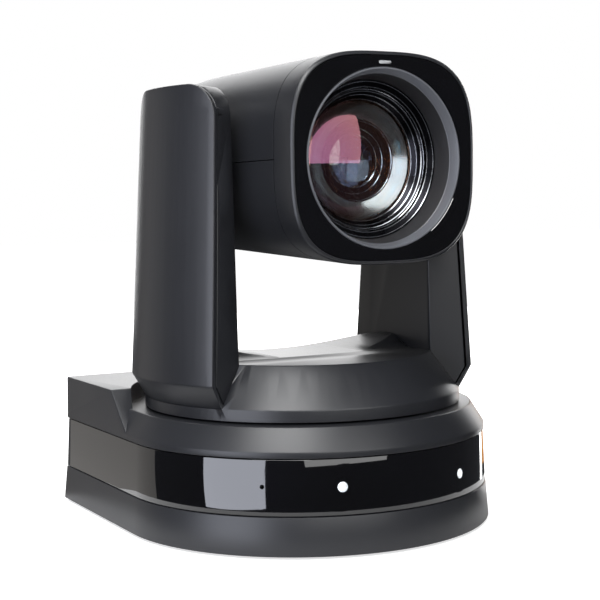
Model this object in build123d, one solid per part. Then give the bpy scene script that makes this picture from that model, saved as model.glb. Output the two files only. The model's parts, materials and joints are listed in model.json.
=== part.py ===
from build123d import *
from math import acos, cos, sin
import os

os.makedirs("parts", exist_ok=True)

# A motorised pan, tilt and zoom camera. Millimetres, +Z up, lens looking along -Y at rest.
# The origin is the mouth of the tripod thread, on the pan axis, in the base's underside.

# ---- Base housing: seen from above, a half disc in front with straight sides and a square back
FOOT_R = 71.0            # front radius and half width at the underside
BACK_EXTRA = 5.0         # the back face lies this much further from the pan axis than the sides
BACK_CORNER = 1.5        # corner radius between side and back
WALL = 2.2               # moulded wall thickness
LOWER_TOP_R = 69.9       # lower tray at its top edge
BAND_Z0 = 13.6           # underside of the gloss band
BAND_Z1 = 33.2           # top of the gloss band
BAND_R0 = 69.7
BAND_R1 = 68.8
BAND_WALL = 2.0
BAND_BACK = 70.8         # the band ends here and the connector panel begins
SKIRT_R = 69.2           # upper housing's straight skirt
SHOULDER_Z0 = 35.5
SHOULDER_Z1 = 43.4
SHOULDER_R1 = 64.2
SEAM = 0.3               # gap between neighbouring mouldings
BLOCK_Z = 50.2           # top of the raised rear block
RAMP_TOP_Y = 24.0        # the block's front face leans back: top edge
RAMP_FOOT_Y = 4.3        # and foot
RAMP_FOOT_Z = 36.7
POCKET_R = 65.3          # round pocket that the turntable turns in
NECK_HOLE_R = 52.0       # opening under the turntable
FOOT_DROP = 1.0          # rubber feet stand below the underside

# ---- Turntable and arms
TABLE_R = 60.0
TABLE_Z0 = 44.2
TABLE_Z1 = 48.3          # top of the turntable's straight band
LIP_R = 49.0
LIP_Z = 62.6
REAR_LIP_Z = 57.3
SADDLE_Z = 67.3          # crest of the saddle between the arms
VALLEY_R = 143.0         # radius of the hollow across the saddle
VALLEY_Z = 61.5
ARM_IN_X = 40.3          # inner faces of the arms
ARM_FRONT_Y0 = -28.1     # inner front edge at the foot
ARM_FRONT_Y1 = -24.8     # and at the top
ARM_OUT_X = 54.6         # outer front edge
ARM_OUT_Y = -35.1
ARM_REAR_Y0 = 27.5       # inner rear edge at the foot
ARM_REAR_Y1 = 13.4       # and at the top
ARM_REAR_SLOPE = 0.32    # the rear face flares outwards
ARM_TOP_Z = 160.0
ARM_ROUND = 12.0         # rounding of the arm's top corners
SLANT = 1.11             # a wall on the arms' slanted faces is this much longer along Y
ARM_R = 64.7             # outer face, round about the pan axis
ARM_TAPER = 6.3          # the outer face draws in by this much at the top
ARM_BEVEL_Z = 56.4       # below this the outer face leans in to the turntable
COVER_T = 1.7
COVER_GAP = 0.7

# ---- Head
TILT_Z = 133.2
FACE_Y = -61.6
HEAD_W = 36.6            # half width
HEAD_H = 35.8            # half height
HEAD_CORNER_R = 22.0
HEAD_REAR_ROUND = 16.0
HEAD_SCREW_X = (-10, 10)
HEAD_SCREW_Y = 12
HEAD_REAR_Y = 64.0
BEZEL_BACK_Y = -49.2
RIM = 1.3                # bright rim round the face plate
OPENING_R = 30.7
TALLY_W = 4.9
TALLY_H = 1.1
TALLY_Z = 32.1           # above the lens axis

# ---- Mechanism
SPINDLE_R = 9.0
SHAFT_R = 4.0            # tilt shafts
RUN_FIT = 0.05           # radial running clearance
STOP_Y = 43.0            # pan stop pin, behind the pan axis at rest
PAN_PULLEY_R = 29.0
PAN_MOTOR_Y = -45.0
PAN_DRIVER_R = 6.0
TILT_PULLEY_R = 10.0
TILT_MOTOR_Z = 86.0
TILT_DRIVER_R = 5.0
TILT_BELT_X = -53.0      # inner face of the tilt pulleys
TILT_PULLEY_W = 3.4
UPRIGHT_X = 44.6         # outer face of the frame's uprights
BELT_GAP = 0.1
BELT_T = 1.2
ROD_X = 21.0             # lens guide rods
ROD_R = 1.5
CHASSIS_Z = 13.6
CHASSIS_T = 2.0
POST_TOP = 13.4          # tray posts stay below the band
BOARD_Z = 15.0
BOARD_T = 1.6

# Places that several pieces share
CHASSIS_SCREWS = [(-48, -32), (48, -32), (-56, 12), (56, 12)]
REAR_SCREWS = [(-60, 60), (60, 60)]
BOARD_POSTS = [(-44, 30), (44, 30)]
FEET = [(-38, -46), (38, -46), (-52, 48), (52, 48)]
BRACKET_SPACING = 56.0   # square of threaded holes for a wall or ceiling bracket
BRACKET_HOLE_R = 1.65
TRIPOD_R = 3.175
TRIPOD_DEPTH = 8.0

# Windows and microphone hole in the band: azimuth from straight ahead, height
WINDOW_R = 1.75
WINDOWS = [(-17.9, 23.4), (24.8, 22.0)]
MIC_HOLE = (-40.6, 23.8)
MIC_R = 0.8

# Connectors on the back
CONNECTORS = {
    # name: centre x, width, height, depth inside, nose beyond the panel
    "dc_inlet": (50.0, 9.0, 11.0, 14.0, 0.5),
    "audio_socket": (38.5, 9.0, 9.0, 12.0, 0.5),
    "lan_socket": (23.0, 16.0, 13.5, 21.0, 0.8),
    "usb_socket": (4.5, 13.2, 6.4, 14.0, 0.8),
    "hdmi_socket": (-13.0, 15.4, 6.6, 12.0, 0.8),
    "sdi_socket": (-29.5, 12.7, 12.7, 12.0, 0.5),
    "serial_socket": (-47.0, 14.0, 13.0, 13.0, 0.5),
}
PANEL_OUT_Y = BAND_R1 + BACK_EXTRA + 0.4
CONNECTOR_Z = BOARD_Z + BOARD_T
AUDIO_R = 1.8

# Sliding lens groups: front faces of their cells at rest
ZOOM_Y = -29.5
FOCUS_Y = 8.0


# ---- Shape helpers
def cyl(radius, z0, z1, x=0, y=0):
    """Upright cylinder."""
    return Pos(x, y, (z0 + z1) / 2) * Cylinder(radius, z1 - z0)


def xcyl(radius, x0, x1, z, y=0):
    """Cylinder lying along X."""
    return Pos((x0 + x1) / 2, y, z) * Rot(0, 90, 0) * Cylinder(radius, abs(x1 - x0))


def ycyl(radius, y0, y1, x, z):
    """Cylinder lying along Y."""
    return Pos(x, (y0 + y1) / 2, z) * Rot(90, 0, 0) * Cylinder(radius, y1 - y0)


def box(x0, x1, y0, y1, z0, z1):
    """Box between two corners."""
    centre = Pos((x0 + x1) / 2, (y0 + y1) / 2, (z0 + z1) / 2)
    return centre * Box(x1 - x0, y1 - y0, z1 - z0)


def d_face(radius, z):
    """Horizontal D: half disc in front, straight sides, rounded back corners."""
    back = radius + BACK_EXTRA
    side = radius - BACK_CORNER
    rise = back - BACK_CORNER
    bulge = BACK_CORNER * 2 ** -0.5
    outline = [
        ThreePointArc((-radius, 0), (0, -radius), (radius, 0)),
        Line((radius, 0), (radius, rise)),
        ThreePointArc((radius, rise), (side + bulge, rise + bulge), (side, back)),
        Line((side, back), (-side, back)),
        ThreePointArc((-side, back), (-side - bulge, rise + bulge), (-radius, rise)),
        Line((-radius, rise), (-radius, 0)),
    ]
    return Pos(0, 0, z) * make_face(outline)


def d_block(r0, z0, r1, z1):
    """D-shaped block whose walls lean from one radius to another."""
    return loft([d_face(r0, z0), d_face(r1, z1)], ruled=True)


def ring(outer, inner, z0, z1, x=0, y=0):
    """Upright ring."""
    return cyl(outer, z0, z1, x, y) - cyl(inner, z0 - 1, z1 + 1, x, y)


def at_each(places, piece):
    """Copies of a piece at a list of places in plan."""
    return [Pos(x, y, 0) * piece for x, y in places]


def joined(body, extras):
    """Body with extra features added."""
    for extra in extras:
        body += extra
    return body


def drilled(body, tools):
    """Body with holes or pockets taken out."""
    for tool in tools:
        body -= tool
    return body


def mirrored(piece):
    """The same piece on the other side of the camera."""
    return mirror(piece, about=Plane.YZ)


# ---- Base body
def bracket_places():
    half = BRACKET_SPACING / 2
    return [(x, y) for x in (-half, half) for y in (-half, half)]


def base_lower_shell():
    """Tray that carries feet, tripod insert and the posts for chassis and boards."""
    tray = d_block(FOOT_R, 0, LOWER_TOP_R, BAND_Z0 - SEAM / 2)
    tray -= d_block(FOOT_R - WALL, WALL, LOWER_TOP_R - WALL, BAND_Z0 + 1)
    tray = joined(tray, at_each(CHASSIS_SCREWS + REAR_SCREWS, cyl(4.5, WALL / 2, POST_TOP)))
    tray = joined(tray, at_each(BOARD_POSTS, cyl(3.5, WALL / 2, POST_TOP)))
    tray = joined(tray, at_each(bracket_places(), cyl(4.0, WALL / 2, 8)))
    tray += cyl(11, WALL / 2, 11)
    screws = CHASSIS_SCREWS + REAR_SCREWS
    tray = drilled(tray, at_each(screws, cyl(1.6, -1, POST_TOP + 1)))
    tray = drilled(tray, at_each(screws, cyl(3.2, -1, 4)))
    tray = drilled(tray, at_each(bracket_places(), cyl(BRACKET_HOLE_R, -1, 7)))
    tray = drilled(tray, at_each(FEET, cyl(6.0, -1, 0.8)))
    return tray - cyl(6.5, -1, 9.5)


def rubber_feet():
    """Round non-slip pads set in shallow pockets."""
    foot = cyl(5.9, -FOOT_DROP, 0.8)
    foot = fillet(foot.edges().sort_by(Axis.Z)[0], 0.6)
    return at_each(FEET, foot)


def tripod_insert():
    """Brass insert with the camera thread, its core drawn at nominal size."""
    return cyl(6.5, 0, 9.5) - cyl(TRIPOD_R, -1, TRIPOD_DEPTH)


def long_screw(top):
    """Pan-head screw driven from below, head sunk in its counterbore."""
    screw = cyl(2.8, 1.6, 3.9) + cyl(1.5, 3.9, top)
    return screw - Pos(0, 0, 1.6) * Box(0.9, 3.2, 2.4) - Pos(0, 0, 1.6) * Box(3.2, 0.9, 2.4)


def base_screws():
    """Screws that clamp tray, chassis and upper housing together."""
    return at_each(CHASSIS_SCREWS + REAR_SCREWS, long_screw(28))


def band_ring():
    """Full ring of the gloss band, before it is divided from the connector panel."""
    outer = d_block(BAND_R0, BAND_Z0 + SEAM / 2, BAND_R1, BAND_Z1 - SEAM / 2)
    return outer - d_block(BAND_R0 - BAND_WALL, BAND_Z0, BAND_R1 - BAND_WALL, BAND_Z1)


def on_band(azimuth, z, radius, depth):
    """Short cylinder through the band's front wall at an angle from straight ahead."""
    reach = BAND_R0 - depth
    turn = Rot(0, 0, azimuth)
    return turn * ycyl(radius, -BAND_R0 - 2, -reach, 0, z)


def ir_window_band():
    """Smoked infrared-clear band round the front and both sides."""
    band = band_ring() & box(-80, 80, -80, BAND_BACK - 0.2, 0, 60)
    band = drilled(band, [on_band(a, z, WINDOW_R + 0.05, 4) for a, z in WINDOWS])
    return band - on_band(MIC_HOLE[0], MIC_HOLE[1], MIC_R, 4)


def signal_windows():
    """Round white windows over the remote receiver and the status lamp."""
    skin = d_block(BAND_R0, BAND_Z0, BAND_R1, BAND_Z1)
    skin -= d_block(BAND_R0 - BAND_WALL - 1, BAND_Z0 - 1, BAND_R1 - BAND_WALL - 1, BAND_Z1 + 1)
    return [on_band(a, z, WINDOW_R, 5) & skin for a, z in WINDOWS]


def connector_body(name, grow=0.0):
    """Rectangular shell of a connector standing on the main board."""
    x, width, height, depth, nose = CONNECTORS[name]
    y0 = PANEL_OUT_Y - depth
    y1 = PANEL_OUT_Y + nose
    half = width / 2 + grow
    return box(x - half, x + half, y0, y1, CONNECTOR_Z - grow, CONNECTOR_Z + height + grow)


def connector_axis(name):
    """Centre line height of a connector."""
    return CONNECTOR_Z + CONNECTORS[name][2] / 2


def rear_panel():
    """Metal connector panel that closes the back between the band's two ends."""
    panel = band_ring() & box(-80, 80, BAND_BACK + 0.1, 80, 0, 60)
    panel = drilled(panel, [connector_body(name, 0.2) for name in CONNECTORS])
    for x in (-62, 62):
        panel -= ycyl(1.3, 60, 80, x, 23.4)
    return panel


def panel_screws():
    """Screws that hold the connector panel."""
    screw = ycyl(1.2, 67, PANEL_OUT_Y + 0.4, 0, 23.4)
    screw += ycyl(2.4, PANEL_OUT_Y + 0.3, PANEL_OUT_Y + 1.5, 0, 23.4)
    slot = box(-0.4, 0.4, PANEL_OUT_Y + 0.7, PANEL_OUT_Y + 3, 21.8, 25.0)
    cross = box(-1.6, 1.6, PANEL_OUT_Y + 0.7, PANEL_OUT_Y + 3, 23.0, 23.8)
    screw = screw - slot - cross
    return [Pos(x, 0, 0) * screw for x in (-62, 62)]


def ramp_side():
    """Everything behind and below the leaning front face of the rear block."""
    slope = (RAMP_TOP_Y - RAMP_FOOT_Y) / (BLOCK_Z - RAMP_FOOT_Z)
    low_y = RAMP_FOOT_Y - slope * (RAMP_FOOT_Z - SHOULDER_Z0)
    profile = Polyline(
        (low_y, SHOULDER_Z0), (RAMP_TOP_Y, BLOCK_Z), (90, BLOCK_Z), (90, SHOULDER_Z0), close=True
    )
    return extrude(Plane.YZ * make_face(profile), amount=90, both=True)


def base_upper_shell():
    """Upper housing: skirt, leaning shoulder, pocket for the turntable and raised rear block."""
    z0 = BAND_Z1 + SEAM / 2
    shell = d_block(SKIRT_R, z0, SKIRT_R, SHOULDER_Z0)
    shell += d_block(SKIRT_R, SHOULDER_Z0, SHOULDER_R1, SHOULDER_Z1)
    block = d_block(SKIRT_R, SHOULDER_Z0, SKIRT_R - 0.3, BLOCK_Z) & ramp_side()
    block = fillet(block.edges().filter_by(Axis.X).group_by(Axis.Z)[-1], 1.0)
    shell += block
    shell -= cyl(POCKET_R, SHOULDER_Z1, 90)
    hollow = d_block(SKIRT_R - WALL, z0 - 1, SKIRT_R - WALL, SHOULDER_Z0)
    hollow += d_block(SKIRT_R - WALL, SHOULDER_Z0, SHOULDER_R1 - WALL, SHOULDER_Z1 - WALL)
    rear_room = d_block(SKIRT_R - WALL, SHOULDER_Z0 - 1, SKIRT_R - WALL, BLOCK_Z - WALL)
    hollow += (rear_room & box(-90, 90, RAMP_TOP_Y + 6, 90, 0, 90)) - cyl(POCKET_R + WALL, 0, 90)
    shell -= hollow
    shell -= cyl(NECK_HOLE_R, 0, 90)
    bosses = at_each(CHASSIS_SCREWS, cyl(4.0, CHASSIS_Z + CHASSIS_T, SHOULDER_Z1 - 1))
    bosses += at_each(REAR_SCREWS, cyl(4.0, POST_TOP + 0.2, BLOCK_Z - 1))
    shell = joined(shell, bosses)
    shell = drilled(shell, at_each(CHASSIS_SCREWS + REAR_SCREWS, cyl(1.6, 10, 30)))
    shell += box(-3, 3, -NECK_HOLE_R - 2, -38, SHOULDER_Z1 - WALL, SHOULDER_Z1)
    for row in range(3):
        for column in range(-7, 8):
            slot = box(-2.2, 2.2, 60, 90, -0.7, 0.7)
            shell -= Pos(column * 6.2, 0, 39.0 + row * 3.2) * slot
    return shell


def base_chassis():
    """Pressed steel plate that carries the spindle and the pan motor."""
    plate = cyl(63, CHASSIS_Z, CHASSIS_Z + CHASSIS_T) & box(-70, 70, -70, 20, 0, 60)
    plate = drilled(plate, at_each(CHASSIS_SCREWS, cyl(1.6, 10, 20)))
    plate -= cyl(SPINDLE_R - 2.5, 10, 20)
    return drilled(plate, [cyl(3.0, 10, 20, x=x, y=y) for x in (-36, 36) for y in (-20, 0)])


def main_board():
    """Circuit board with its video processor, coils and connectors' solder side."""
    board = box(-54, 54, 24, 69, BOARD_Z, BOARD_Z + BOARD_T)
    board = joined(board, at_each(BOARD_POSTS, cyl(2.8, POST_TOP, BOARD_Z)))
    chips = [(-40, 36, 9, 9, 2.0), (-26, 46, 6, 6, 1.4), (30, 38, 8, 12, 3.0), (44, 44, 7, 7, 4.0)]
    for x, y, width, length, height in chips:
        board += box(x - width / 2, x + width / 2, y - length / 2, y + length / 2,
                     BOARD_Z + BOARD_T, BOARD_Z + BOARD_T + height)
    return board


def lan_socket():
    """Shielded network jack with its latch notch at the bottom."""
    x = CONNECTORS["lan_socket"][0]
    y1 = PANEL_OUT_Y + 2
    body = connector_body("lan_socket")
    body -= box(x - 5.95, x + 5.95, y1 - 14, y1, CONNECTOR_Z + 4.6, CONNECTOR_Z + 11.8)
    return body - box(x - 3.2, x + 3.2, y1 - 14, y1, CONNECTOR_Z + 1.4, CONNECTOR_Z + 4.7)


def slot_socket(name, wall):
    """Flat connector with a single rectangular mouth."""
    x, width, height, depth, _ = CONNECTORS[name]
    half = width / 2 - wall
    y0 = PANEL_OUT_Y - depth + 3
    z0 = CONNECTOR_Z + wall
    z1 = CONNECTOR_Z + height - wall
    return connector_body(name) - box(x - half, x + half, y0, PANEL_OUT_Y + 3, z0, z1)


def sdi_socket():
    """Coaxial bayonet jack: barrel with two locking studs and an insulated centre."""
    x = CONNECTORS["sdi_socket"][0]
    z = connector_axis("sdi_socket")
    tip = PANEL_OUT_Y + 9.5
    jack = connector_body("sdi_socket") + ycyl(6.0, PANEL_OUT_Y, PANEL_OUT_Y + 1.6, x, z)
    jack += ycyl(4.83, PANEL_OUT_Y, tip, x, z)
    jack += xcyl(0.95, x - 5.7, x + 5.7, z, y=tip - 3.2)
    jack -= ycyl(4.0, PANEL_OUT_Y + 2, tip + 1, x, z)
    return jack + (ycyl(2.2, PANEL_OUT_Y + 1, tip - 1.5, x, z) - ycyl(0.6, tip - 5, tip, x, z))


def serial_socket():
    """Round eight-way control socket with its keyed insulator."""
    x = CONNECTORS["serial_socket"][0]
    z = connector_axis("serial_socket")
    front = PANEL_OUT_Y + CONNECTORS["serial_socket"][4]
    socket = connector_body("serial_socket") - ycyl(4.8, front - 6, front + 1, x, z)
    socket += ycyl(3.9, front - 7, front - 1.0, x, z)
    for row, count in ((1.6, 3), (-0.2, 3), (-2.0, 2)):
        for i in range(count):
            socket -= ycyl(0.4, front - 4, front, x + (i - (count - 1) / 2) * 2.0, z + row)
    return socket


def audio_socket():
    """Round jack with a threaded nose."""
    x = CONNECTORS["audio_socket"][0]
    z = connector_axis("audio_socket")
    jack = connector_body("audio_socket") + ycyl(3.6, PANEL_OUT_Y, PANEL_OUT_Y + 2.2, x, z)
    return jack - ycyl(AUDIO_R, PANEL_OUT_Y - 11, PANEL_OUT_Y + 3, x, z)


def dc_inlet():
    """Barrel power inlet with its centre pin."""
    x = CONNECTORS["dc_inlet"][0]
    z = connector_axis("dc_inlet")
    front = PANEL_OUT_Y + CONNECTORS["dc_inlet"][4]
    inlet = connector_body("dc_inlet") - ycyl(2.9, front - 9, front + 1, x, z)
    return inlet + ycyl(1.0, front - 10, front - 0.8, x, z)


def pan_spindle():
    """Fixed hollow spindle, flanged to the chassis, that the camera turns about."""
    top = CHASSIS_Z + CHASSIS_T
    spindle = cyl(16, top, top + 2.5) + cyl(SPINDLE_R, top, 55.2)
    return spindle - cyl(SPINDLE_R - 2.5, 0, 90)


def spindle_nut():
    """Slotted nut that keeps the turntable on its spindle."""
    nut = ring(13, SPINDLE_R, 52.9, 55.0)
    for i in range(4):
        nut -= Rot(0, 0, 90 * i) * box(11.5, 14, -1.5, 1.5, 50, 60)
    return nut


def square_motor(size, length):
    """Square stepper motor standing on its back, with the face boss on top."""
    motor = extrude(RectangleRounded(size, size, size * 0.12), amount=length)
    return motor + Pos(0, 0, length) * extrude(Circle(size * 0.31), amount=1.5)


def pan_motor():
    """Stepper motor standing on the chassis, shaft up."""
    motor = Pos(0, PAN_MOTOR_Y, CHASSIS_Z + CHASSIS_T) * square_motor(34, 15.2)
    return motor - cyl(2.5 + RUN_FIT, 22, 40, y=PAN_MOTOR_Y)


def pulley(radius, width):
    """Flanged belt pulley standing on its end."""
    flange = 0.8
    wheel = cyl(radius, 0, width) + cyl(radius + 1.6, 0, flange)
    return wheel + cyl(radius + 1.6, width - flange, width)


def belt_loop(r0, r1, distance, width):
    """Belt round two pulleys, the second one at a distance along +X."""

    def disc_pair(grow):
        a = r0 + grow
        b = r1 + grow
        turn = acos((a - b) / distance)
        corners = [(a * cos(turn), a * sin(turn)), (distance + b * cos(turn), b * sin(turn))]
        corners += [(x, -y) for x, y in reversed(corners)]
        return Circle(a) + Pos(distance, 0) * Circle(b) + make_face(Polyline(*corners, close=True))

    loop = disc_pair(BELT_GAP + BELT_T) - disc_pair(BELT_GAP)
    return extrude(loop, amount=width)


def pan_motor_pulley():
    """Driving pulley with the motor's shaft."""
    wheel = Pos(0, PAN_MOTOR_Y, 33) * pulley(PAN_DRIVER_R, 4.5)
    return wheel + cyl(2.5, 24, 33, y=PAN_MOTOR_Y)


def pan_belt():
    """Belt from motor to turntable."""
    loop = Rot(0, 0, -90) * belt_loop(PAN_PULLEY_R, PAN_DRIVER_R, -PAN_MOTOR_Y, 2.5)
    return Pos(0, 0, 34) * loop


# ---- Yoke body: turntable, frame, arms and the tilt drive
def arm_prism(inset, reach=80.0):
    """Arm's plan outline drawn up to its full height, shrunk by a wall thickness."""

    def plan(front_y, rear_y, z):
        slope = (ARM_OUT_Y - front_y) / (ARM_OUT_X - ARM_IN_X)
        x0 = ARM_IN_X + inset
        shift = inset * SLANT
        y0 = front_y + slope * inset + shift
        y1 = front_y + slope * (reach - ARM_IN_X) + shift
        y2 = rear_y + ARM_REAR_SLOPE * (reach - ARM_IN_X) - shift
        y3 = rear_y + ARM_REAR_SLOPE * inset - shift
        corners = Polyline((x0, y0), (reach, y1), (reach, y2), (x0, y3), close=True)
        return Pos(0, 0, z) * make_face(corners)

    foot = plan(ARM_FRONT_Y0, ARM_REAR_Y0, TABLE_Z1 + inset)
    head = plan(ARM_FRONT_Y1, ARM_REAR_Y1, ARM_TOP_Z - inset)
    prism = loft([foot, head], ruled=True)
    top = prism.faces().sort_by(Axis.Z)[-1]
    ends = top.edges().sort_by(Axis.Y)
    return fillet([ends[0], ends[-1]], ARM_ROUND - inset)


def arm_limit(radius):
    """Round envelope of the arms, leaning in to the turntable at the foot."""
    lean = ARM_R - TABLE_R
    top_r = radius - ARM_TAPER
    profile = Polyline(
        (0, TABLE_Z1), (radius - lean, TABLE_Z1), (radius, ARM_BEVEL_Z), (top_r, ARM_TOP_Z),
        (top_r, ARM_TOP_Z + 10), (0, ARM_TOP_Z + 10), close=True
    )
    return revolve(Plane.XZ * make_face(profile), Axis.Z)


def arm_shell():
    """Arm moulding, open on its outer side, on a tray floor with a slot for the frame."""
    inner_r = ARM_R - COVER_T - COVER_GAP
    arm = arm_prism(0) & arm_limit(inner_r)
    arm -= arm_prism(WALL)
    arm -= xcyl(9.0, 38, 45, TILT_Z)
    return arm - box(38, 44, -15.4, 15.4, TABLE_Z1 + 1.9, TABLE_Z1 + 4.6)


def arm_cover():
    """Outer cover of the arm, round about the pan axis."""
    return (arm_prism(0) & arm_limit(ARM_R)) - arm_limit(ARM_R - COVER_T)


def turntable_shell():
    """Round cover that turns with the arms: straight band, cone, lip and the saddle between."""
    outer = Polyline(
        (0, TABLE_Z0), (TABLE_R, TABLE_Z0), (TABLE_R, TABLE_Z1), (LIP_R, LIP_Z), (0, LIP_Z), close=True
    )
    table = revolve(Plane.XZ * make_face(outer), Axis.Z)
    hump = [(-18, LIP_Z), (-11, LIP_Z + 0.9), (-4, SADDLE_Z - 0.9), (4, SADDLE_Z), (13, 66.0), (26, 60.0)]
    crest = Spline(*hump, tangents=((1, 0), (1, -0.55)))
    under = Polyline(hump[-1], (26, 55), (-18, 55), hump[0])
    saddle = extrude(Plane.YZ * make_face([crest, under]), amount=ARM_IN_X, both=True)
    rear_slope = (LIP_Z - 1.1 - REAR_LIP_Z) / (LIP_R - 10)
    rear = Polyline(
        (10, 61.5), (70, 61.5 - 60 * rear_slope), (70, 90), (10, 90), close=True
    )
    table -= extrude(Plane.YZ * make_face(rear), amount=90, both=True)
    table += saddle
    table -= ycyl(VALLEY_R, -16, 100, 0, VALLEY_Z + VALLEY_R)
    inner = Polyline(
        (0, TABLE_Z0 - 1), (TABLE_R - WALL, TABLE_Z0 - 1), (TABLE_R - WALL, TABLE_Z1), (LIP_R + 1.2, 57.0),
        (0, 57.0), close=True
    )
    hollow = revolve(Plane.XZ * make_face(inner), Axis.Z)
    low = Polyline(
        (0, 59.4 - WALL), (70, 59.4 - WALL - 60 * rear_slope), (70, 90), (0, 90), close=True
    )
    hollow -= extrude(Plane.YZ * make_face(low), amount=90, both=True)
    table -= hollow
    foot = arm_prism(-0.15)
    return table - foot - mirrored(foot)


def yoke_frame():
    """Die-cast U frame: hub sleeve, pan stop pin, floor plate and uprights for the tilt bushes."""
    floor_z = TABLE_Z1 + 2.2
    frame = cyl(46, floor_z, floor_z + 2) & box(-39.8, 39.8, -60, 60, 40, 60)
    frame += box(-44.6, 44.6, -15, 15, floor_z, floor_z + 2)
    for side in (-1, 1):
        x0 = min(side * 42.9, side * 44.6)
        frame += box(x0, x0 + 1.7, -10.5, 10.5, floor_z + 0.1, TILT_Z + 12)
        frame += box(x0, x0 + 1.7, -15, 15, floor_z + 0.1, TILT_MOTOR_Z + 16)
        frame -= xcyl(7.0, x0 - 1, x0 + 3, TILT_Z)
    frame += cyl(14, 31, floor_z)
    frame += cyl(2.4, 41.6, floor_z, y=STOP_Y)
    frame -= cyl(11.5, 30, 60)
    return drilled(frame, at_each([(-26, -26), (26, -26), (-26, 26), (26, 26)], cyl(1.6, 40, 60)))


def pan_bush():
    """Bronze bush between hub and spindle."""
    return ring(11.5, SPINDLE_R + RUN_FIT, 31, TABLE_Z1 + 4)


def pan_pulley():
    """Large pulley under the turntable."""
    return Pos(0, 0, 33) * pulley(PAN_PULLEY_R, 4.5) - cyl(14.0, 30, 40)


def tilt_bushes():
    """Flanged bushes in the two uprights."""
    bush = xcyl(7.0, 42.9, 46.9, TILT_Z) + xcyl(8.5, 44.6, 45.8, TILT_Z)
    bush -= xcyl(SHAFT_R + RUN_FIT, 40, 50, TILT_Z)
    return [bush, mirrored(bush)]


def tilt_motor():
    """Flat stepper motor on the left upright, shaft outwards."""
    motor = Pos(-UPRIGHT_X, 0, TILT_MOTOR_Z) * Rot(0, -90, 0) * square_motor(28, 6.2)
    return motor - xcyl(2.0 + RUN_FIT, -60, -47.5, TILT_MOTOR_Z)


def tilt_motor_pulley():
    """Driving pulley with the tilt motor's shaft."""
    wheel = Pos(TILT_BELT_X, 0, TILT_MOTOR_Z) * Rot(0, -90, 0) * pulley(TILT_DRIVER_R, TILT_PULLEY_W)
    return wheel + xcyl(2.0, TILT_BELT_X, -48, TILT_MOTOR_Z)


def tilt_belt():
    """Belt from the motor up to the head's pulley."""
    loop = belt_loop(TILT_DRIVER_R, TILT_PULLEY_R, TILT_Z - TILT_MOTOR_Z, 1.6)
    return Pos(TILT_BELT_X - 0.9, 0, TILT_MOTOR_Z) * Rot(0, -90, 0) * loop


def tilt_board():
    """Driver board in the right arm."""
    board = box(46.4, 48.0, -12, 12, 64, 112)
    for z, height in ((74, 8), (88, 10), (102, 6)):
        board += box(48.0, 50.2, -5, 5, z - height / 2, z + height / 2)
    return joined(board, [xcyl(2.5, 44.6, 46.4, z, y=y) for z in (67, 109) for y in (-9, 9)])


# ---- Head body
def head_slab(y0, y1, inset=0.0):
    """Rounded-square slab of the head's outline, shrunk by an inset."""
    half_w = HEAD_W - inset
    half_h = HEAD_H - inset
    slab = box(-half_w, half_w, y0, y1, TILT_Z - half_h, TILT_Z + half_h)
    return fillet(slab.edges().filter_by(Axis.Y), HEAD_CORNER_R - inset)


def head_hull(y0, inset=0.0):
    """Head behind the bezel, closed and rounded off at the back."""
    hull = head_slab(y0, HEAD_REAR_Y - inset, inset)
    return fillet(hull.edges().group_by(Axis.Y)[-1], HEAD_REAR_ROUND - inset)


def head_shell(side):
    """Upper (side 1) or lower (side -1) casing of the head with half of the hub opening."""
    shell = head_hull(BEZEL_BACK_Y + SEAM) - head_hull(BEZEL_BACK_Y - 1, WALL)
    low = TILT_Z + side * SEAM / 2
    half = box(-60, 60, -80, 80, min(low, low + side * 60), max(low, low + side * 60))
    shell = (shell & half) - xcyl(9.0, -60, 60, TILT_Z)
    if side > 0:
        return shell
    low = TILT_Z - HEAD_H
    places = [(x, HEAD_SCREW_Y) for x in HEAD_SCREW_X]
    shell = drilled(shell, at_each(places, cyl(1.6, low - 1, low + 5)))
    return drilled(shell, at_each(places, cyl(2.6, low - 1, low + 1.2)))


def head_bezel():
    """Front ring with a chamfered rim, rebated for the face plate."""
    bezel = head_slab(FACE_Y, BEZEL_BACK_Y)
    bezel = chamfer(bezel.edges().group_by(Axis.Y)[0], 0.9)
    bezel -= head_slab(FACE_Y - 1, FACE_Y + 1.8, RIM)
    return bezel - head_slab(FACE_Y - 1, BEZEL_BACK_Y + 1, 3.4)


def tally_slot(grow, y0, y1):
    """Rounded slot over the lens."""
    width = TALLY_W + 2 * grow
    height = TALLY_H + 2 * grow
    slot = SlotOverall(width, height)
    return Pos(0, y1, TILT_Z + TALLY_Z) * Rot(90, 0, 0) * extrude(slot, amount=y1 - y0)


def face_plate():
    """Gloss front plate with the round lens opening."""
    plate = head_slab(FACE_Y + 0.25, FACE_Y + 1.7, RIM + 0.05)
    plate -= ycyl(OPENING_R, FACE_Y - 5, FACE_Y + 5, 0, TILT_Z)
    return plate - tally_slot(0.05, FACE_Y - 3, FACE_Y + 3)


def tally_window():
    """Light window that fills the slot."""
    return tally_slot(0, FACE_Y + 0.3, FACE_Y + 1.7)


def turned(points):
    """Solid turned about the lens axis from (radius, depth behind the face) points."""
    outline = [(radius, FACE_Y + depth) for radius, depth in points]
    blank = revolve(make_face(Polyline(*outline, close=True)), Axis.Y)
    return Pos(0, 0, TILT_Z) * blank


def lens_element(radius, front, front_edge, back_edge, back):
    """Lens with two spherical faces: depths of front pole, edges and back pole."""
    def point(r, depth):
        return (r, FACE_Y + depth)

    def crown(pole, edge):
        mid = 0.5 * radius
        return ThreePointArc(point(0, pole), point(mid, pole + (edge - pole) * 0.24), point(radius, edge))

    outline = [
        crown(front, front_edge),
        Line(point(radius, front_edge), point(radius, back_edge)),
        crown(back, back_edge),
        Line(point(0, back), point(0, front)),
    ]
    return Pos(0, 0, TILT_Z) * revolve(make_face(outline), Axis.Y)


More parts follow.
